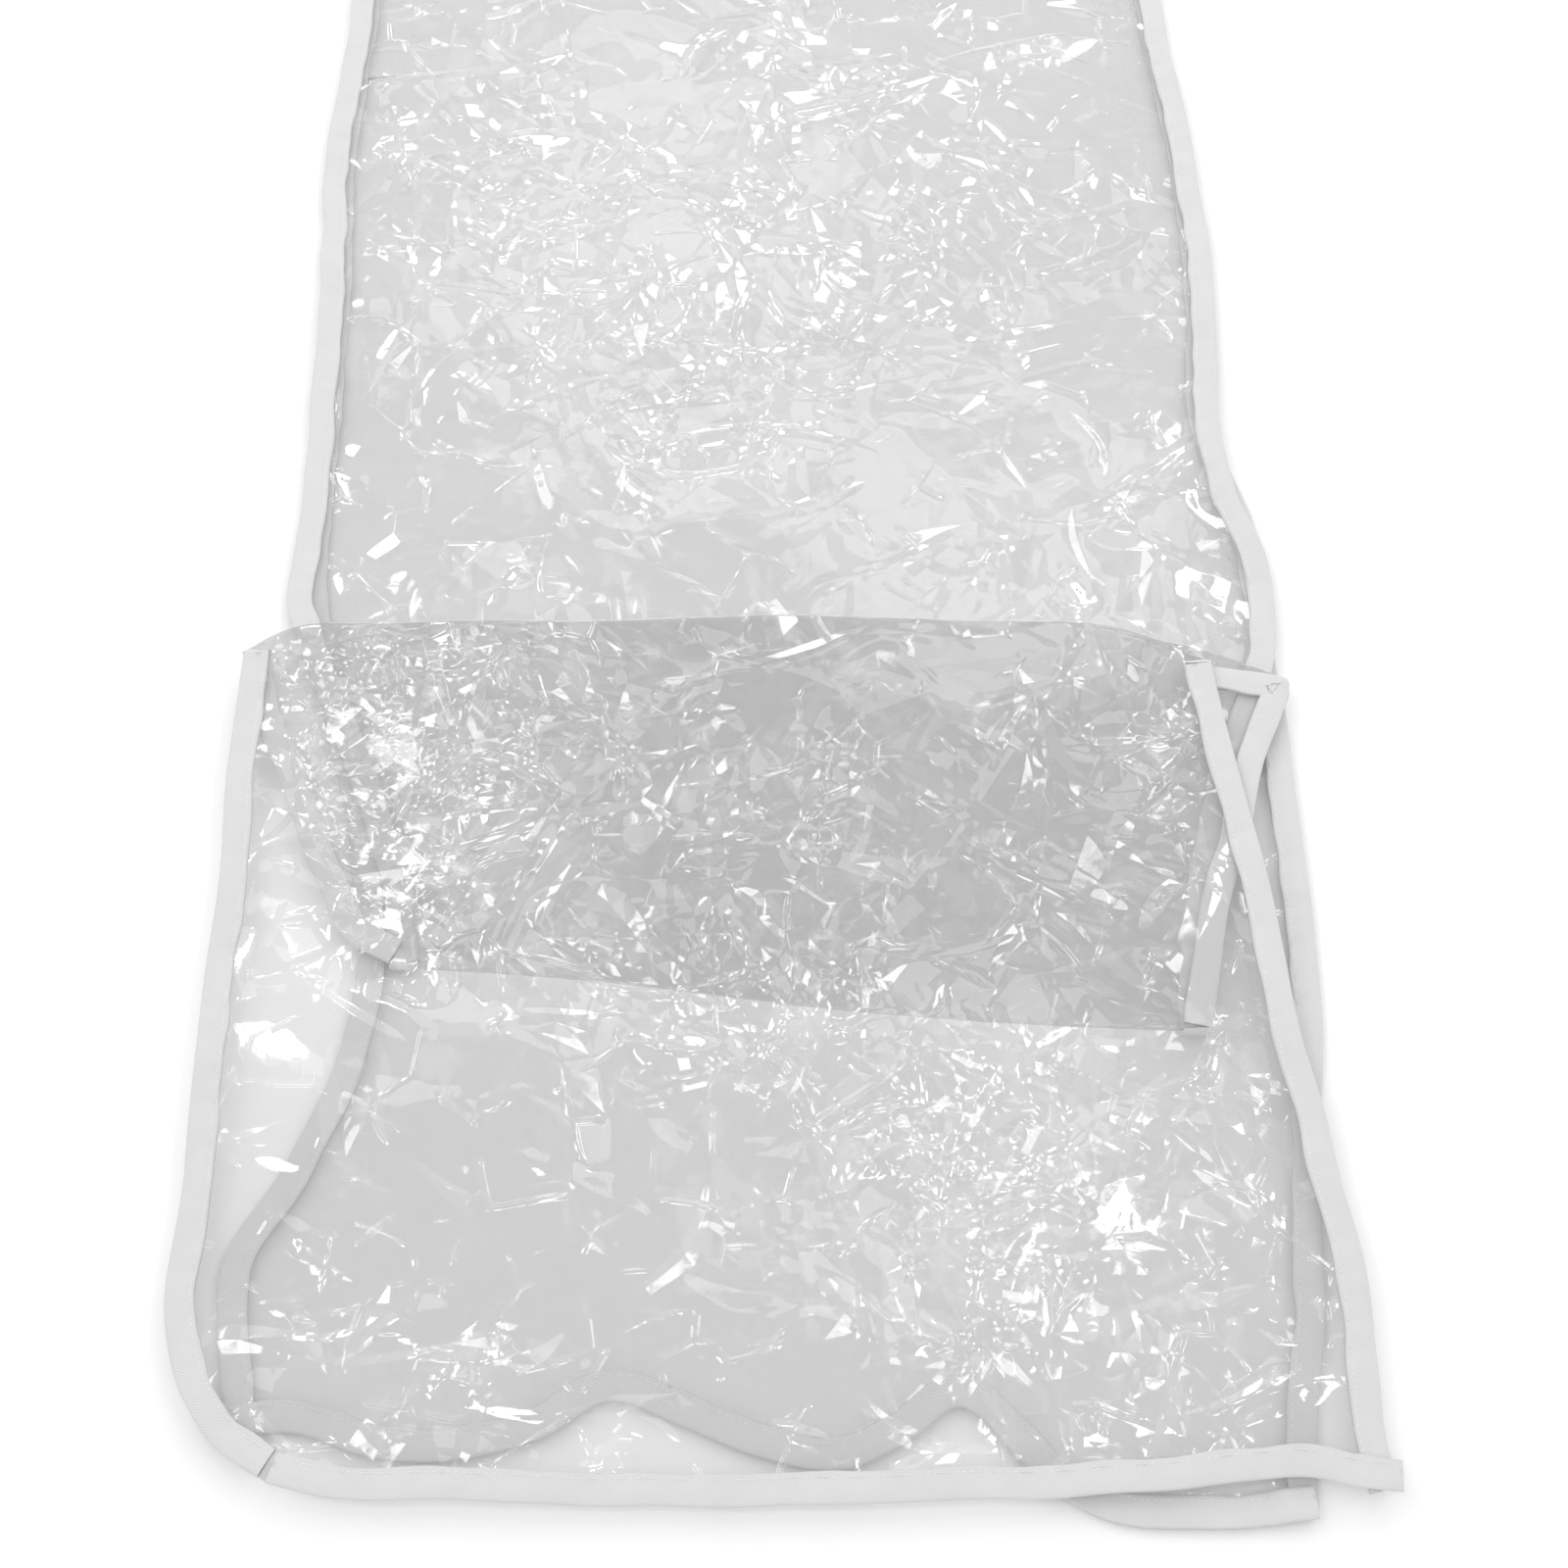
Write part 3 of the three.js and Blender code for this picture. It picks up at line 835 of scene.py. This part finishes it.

# ---- what each piece rides on and replaces ----
for (name, sideName), piece in tapes.items():
    if name in ("back", "yoke", "shoulder", "neck"):
        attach(piece, bodyName)
    elif name in ("tuck", "flap"):
        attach(piece, tuckName if name == "tuck" else flapName)
for name in ("back", "yoke"):
    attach(filmPieces[name], bodyName)
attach(filmPieces["tuck"], tuckName)
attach(filmPieces["flap"], flapName)
for piece in (filmPieces["lower"], tapes["lower", "left"], tapes["lower", "right"]):
    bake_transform(piece)
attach(tapes["upper", "right"], flapName)  # this corner lies too far off the hinge to bend about it
for piece in (filmPieces["upper"], tapes["upper", "left"]):
    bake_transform(piece)

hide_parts("body_film")
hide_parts("body_film")
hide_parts("tuck_film")
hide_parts("flap_film")
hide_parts("neck_binding")
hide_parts("back_hem_binding")
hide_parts("front_hem_binding")
for sideName in ("left", "right"):
    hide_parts(f"body_{sideName}_binding")
    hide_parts(f"body_{sideName}_binding")
    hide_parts(f"tuck_{sideName}_binding")
    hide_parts(f"flap_{sideName}_binding")

for name, held, under in (("back", "laid", ["floor"]), ("yoke", "laid", ["back_panel_film"]),
                          ("tuck", "folded", ["yoke_film"]), ("flap", "folded", ["tuck_panel_film"])):
    going = [p for (n, s), p in tapes.items() if n == name or (name == "yoke" and n in ("shoulder", "neck"))]
    going += [p for (n, s), p in tapes.items() if (name, n) in (("tuck", "lower"), ("flap", "upper"))]
    going += {"tuck": [filmPieces["lower"]], "flap": [filmPieces["upper"]]}.get(name, [])

# ---- floor, light and camera ----
scene = bpy.context.scene
scene.view_settings.view_transform = "Standard"

floorHalf = 4.0  # metres
floorMesh = bpy.data.meshes.new("floor")
floorCorners = [(x * floorHalf, y * floorHalf, 0) for x, y in ((-1, -1), (1, -1), (1, 1), (-1, 1))]
floorMesh.from_pydata(floorCorners, [], [(0, 1, 2, 3)])
floor = bpy.data.objects.new("floor", floorMesh)
scene.collection.objects.link(floor)
paper = newMaterial("whitePaperSweep")  # matt white background paper
surface = addNode(paper, "ShaderNodeBsdfPrincipled",
                  {"Base Color": linear("f7f7f7"), "Roughness": 1.0, "Specular IOR Level": 0.0})
addNode(paper, "ShaderNodeOutputMaterial", {}, {"Surface": surface.outputs[0]})
floorMesh.materials.append(paper)

cameraData = bpy.data.cameras.new("camera")
cameraData.lens, cameraData.sensor_width = 50, 36
camera = bpy.data.objects.new("camera", cameraData)
camera.location = (-0.002, -0.753, 1.0566)
camera.rotation_euler = (math.radians(29.2), 0, math.radians(-1.41))
scene.collection.objects.link(camera)
scene.camera = camera

# a pale room, brighter towards the horizon than overhead
room = dict(horizon=0.96, overhead=0.58)
world = bpy.data.worlds.new("studio")
scene.world = world
world.use_nodes = True
background = world.node_tree.nodes["Background"]
direction = addNode(world, "ShaderNodeTexCoord").outputs["Generated"]
parts = addNode(world, "ShaderNodeSeparateXYZ", {}, {0: direction})
strength = addNode(world, "ShaderNodeMapRange",
                   {"interpolation_type": "SMOOTHSTEP", "From Min": 0.45, "From Max": 1.0,
                    "To Min": room["horizon"], "To Max": room["overhead"]},
                   {"Value": parts.outputs["Z"]})
world.node_tree.links.new(strength.outputs[0], background.inputs["Strength"])
background.inputs["Color"].default_value = (1, 1, 1, 1)

# Lamps by the way they lie, in degrees off the vertical towards +X and +Y. Seen from the camera, flat film
# mirrors what lies 13 degrees to either side and 10 to 49 towards +Y: the panels stand there and tone it, and
# the bright lamps stand round it, so that only creases catch them.
lamps = {
    "panel": dict(distance=2.0, size=0.5, radiance=0.85, towards=[(-14, 22), (12, 34), (-6, 47), (9, 10)]),
    "spark": dict(distance=3.0, size=0.42, radiance=5.5,
                  towards=[(-35, 10), (-31, 38), (-50, 24), (35, 12), (30, 40), (48, 28), (-15, -12), (12, -15),
                           (-2, -32), (-29, -10), (29, -8), (-12, 64), (14, 63), (-38, 55), (39, 54)]),
    # where calm film at these spots, in metres, mirrors them
    "cluster": dict(distance=1.8, size=0.07, radiance=11.0,
                    spots=[(-0.235, -0.12), (-0.215, -0.20), (0.14, -0.44)]),
}


filmTop = 0.01  # metres above the floor


def wayOff(x, y):
    # where the calm film at a spot sends the line of sight, from the film's slope over reach to each side
    reach = 5 * mm
    places = np.array([[x + reach, y], [x - reach, y], [x, y + reach], [x, y - reach]]) / mm
    east, west, north, south = readAt(undulation, places[:, 0], places[:, 1]) * mm
    normal = Vector(((west - east) / (2 * reach), (south - north) / (2 * reach), 1)).normalized()
    return (Vector((x, y, filmTop)) - camera.location).reflect(normal)


for kind, lamp in lamps.items():
    # each lamp stands on a line from a start, along a way
    slopes = [[math.tan(math.radians(degrees)) for degrees in pair] for pair in lamp.get("towards", [])]
    rays = [(Vector((0, 0, 0)), Vector((*pair, 1))) for pair in slopes]
    rays += [(Vector((x, y, filmTop)), wayOff(x, y)) for x, y in lamp.get("spots", [])]
    for k, (start, way) in enumerate(rays):
        data = bpy.data.lights.new(f"{kind}Lamp{k}", "AREA")
        data.shape, data.size = "SQUARE", lamp["size"]
        data.energy = lamp["radiance"] * math.pi * lamp["size"] ** 2
        away = way.normalized()
        light = bpy.data.objects.new(data.name, data)
        light.location = start + away * lamp["distance"]
        light.rotation_euler = (-away).to_track_quat("-Z", "Y").to_euler()
        scene.collection.objects.link(light)
print("stage ready")
